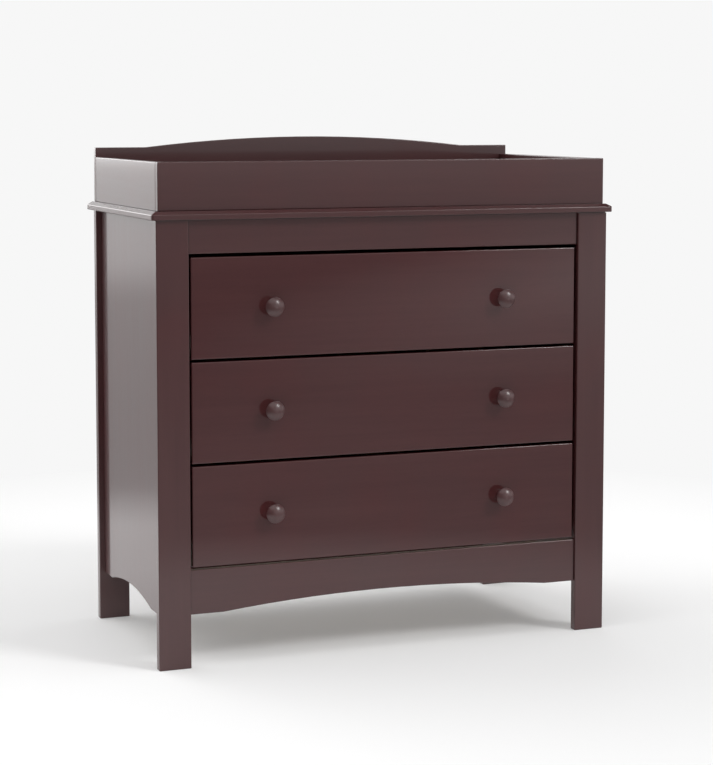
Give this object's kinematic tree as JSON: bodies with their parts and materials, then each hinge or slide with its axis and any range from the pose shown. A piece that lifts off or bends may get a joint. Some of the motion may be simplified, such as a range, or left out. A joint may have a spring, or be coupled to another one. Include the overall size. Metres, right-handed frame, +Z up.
{
  "type": "changing dresser",
  "caption": "Dark lacquered nursery dresser on flat legs: inset drawers with round knobs on roller runners, an arched apron and a shallow changing tray with an arched back.",
  "frame": {"origin": "on the floor, under the middle of the whole object from the knobs' tips to the rear edge of the top", "axes": "+Z up, the drawers open towards -Y, +X to the right as seen from the front"},
  "size_m": [0.9088, 0.478, 0.9481],
  "materials": {
    "lacquered_wood": "dark brown-purple lacquer, semi-gloss",
    "drawer_wood": "clear sealed, matte",
    "softwood": "planed, unfinished",
    "hardboard": "dark printed face, matte",
    "plywood": "sanded, clear sealed",
    "beech": "unfinished",
    "coated_steel": "pale powder coat",
    "zinc_screws": "bright zinc plate",
    "zinc_casting": "as cast",
    "nylon": "moulded, satin"
  },
  "bodies": {
    "carcass": {"front_left_leg": "lacquered_wood", "front_right_leg": "lacquered_wood", "rear_left_leg": "lacquered_wood", "rear_right_leg": "lacquered_wood", "left_side_panel": "lacquered_wood", "right_side_panel": "lacquered_wood", "top_panel": "lacquered_wood", "front_top_rail": "lacquered_wood", "front_apron": "lacquered_wood", "rear_top_rail": "lacquered_wood", "rear_low_rail": "lacquered_wood", "back_panel": "hardboard", "runner_blocks": "softwood", "tray_front": "lacquered_wood", "tray_back": "lacquered_wood", "tray_left_side": "lacquered_wood", "tray_right_side": "lacquered_wood", "tray_screws": "zinc_screws", "cam_locks": "zinc_casting", "cam_bolts": "zinc_screws", "wood_dowels": "beech", "cabinet_runners": "coated_steel", "cabinet_runner_screws": "zinc_screws"},
    "bottom_drawer": {"bottom_drawer_front": "lacquered_wood", "bottom_drawer_left_side": "drawer_wood", "bottom_drawer_right_side": "drawer_wood", "bottom_drawer_back": "drawer_wood", "bottom_drawer_bottom": "plywood", "bottom_drawer_knobs": "lacquered_wood", "bottom_drawer_knob_screws": "zinc_screws", "bottom_drawer_runners": "coated_steel", "bottom_drawer_runner_screws": "zinc_screws", "bottom_drawer_dowels": "beech"},
    "bottom_drawer_front_rollers": {"bottom_drawer_front_rollers": "nylon"},
    "bottom_drawer_rear_rollers": {"bottom_drawer_rear_rollers": "nylon"},
    "middle_drawer": {"middle_drawer_front": "lacquered_wood", "middle_drawer_left_side": "drawer_wood", "middle_drawer_right_side": "drawer_wood", "middle_drawer_back": "drawer_wood", "middle_drawer_bottom": "plywood", "middle_drawer_knobs": "lacquered_wood", "middle_drawer_knob_screws": "zinc_screws", "middle_drawer_runners": "coated_steel", "middle_drawer_runner_screws": "zinc_screws", "middle_drawer_dowels": "beech"},
    "middle_drawer_front_rollers": {"middle_drawer_front_rollers": "nylon"},
    "middle_drawer_rear_rollers": {"middle_drawer_rear_rollers": "nylon"},
    "top_drawer": {"top_drawer_front": "lacquered_wood", "top_drawer_left_side": "drawer_wood", "top_drawer_right_side": "drawer_wood", "top_drawer_back": "drawer_wood", "top_drawer_bottom": "plywood", "top_drawer_knobs": "lacquered_wood", "top_drawer_knob_screws": "zinc_screws", "top_drawer_runners": "coated_steel", "top_drawer_runner_screws": "zinc_screws", "top_drawer_dowels": "beech"},
    "top_drawer_front_rollers": {"top_drawer_front_rollers": "nylon"},
    "top_drawer_rear_rollers": {"top_drawer_rear_rollers": "nylon"}
  },
  "joints": [
    {"name": "bottom_drawer_slide", "type": "slide", "parent": "carcass", "child": "bottom_drawer", "axis": [0, -1, 0], "range_m": [0, 0.262]},
    {"name": "bottom_drawer_front_roller_spin", "type": "hinge", "parent": "carcass", "child": "bottom_drawer_front_rollers", "pos_m": [0, -0.1764, 0.21345], "axis": [1, 0, 0], "range_deg": [0, 1365]},
    {"name": "bottom_drawer_rear_roller_spin", "type": "hinge", "parent": "bottom_drawer", "child": "bottom_drawer_rear_rollers", "pos_m": [0, 0.1456, 0.20895], "axis": [1, 0, 0], "range_deg": [0, 1365]},
    {"name": "middle_drawer_slide", "type": "slide", "parent": "carcass", "child": "middle_drawer", "axis": [0, -1, 0], "range_m": [0, 0.262]},
    {"name": "middle_drawer_front_roller_spin", "type": "hinge", "parent": "carcass", "child": "middle_drawer_front_rollers", "pos_m": [0, -0.1764, 0.40132], "axis": [1, 0, 0], "range_deg": [0, 1365]},
    {"name": "middle_drawer_rear_roller_spin", "type": "hinge", "parent": "middle_drawer", "child": "middle_drawer_rear_rollers", "pos_m": [0, 0.1456, 0.39682], "axis": [1, 0, 0], "range_deg": [0, 1365]},
    {"name": "top_drawer_slide", "type": "slide", "parent": "carcass", "child": "top_drawer", "axis": [0, -1, 0], "range_m": [0, 0.262]},
    {"name": "top_drawer_front_roller_spin", "type": "hinge", "parent": "carcass", "child": "top_drawer_front_rollers", "pos_m": [0, -0.1764, 0.58918], "axis": [1, 0, 0], "range_deg": [0, 1365]},
    {"name": "top_drawer_rear_roller_spin", "type": "hinge", "parent": "top_drawer", "child": "top_drawer_rear_rollers", "pos_m": [0, 0.1456, 0.58468], "axis": [1, 0, 0], "range_deg": [0, 1365]}
  ],
  "couplings": [
    {"joint": "bottom_drawer_front_roller_spin", "follows": "bottom_drawer_slide", "rad_per_m": 90.909},
    {"joint": "bottom_drawer_rear_roller_spin", "follows": "bottom_drawer_slide", "rad_per_m": 90.909},
    {"joint": "middle_drawer_front_roller_spin", "follows": "middle_drawer_slide", "rad_per_m": 90.909},
    {"joint": "middle_drawer_rear_roller_spin", "follows": "middle_drawer_slide", "rad_per_m": 90.909},
    {"joint": "top_drawer_front_roller_spin", "follows": "top_drawer_slide", "rad_per_m": 90.909},
    {"joint": "top_drawer_rear_roller_spin", "follows": "top_drawer_slide", "rad_per_m": 90.909}
  ]
}
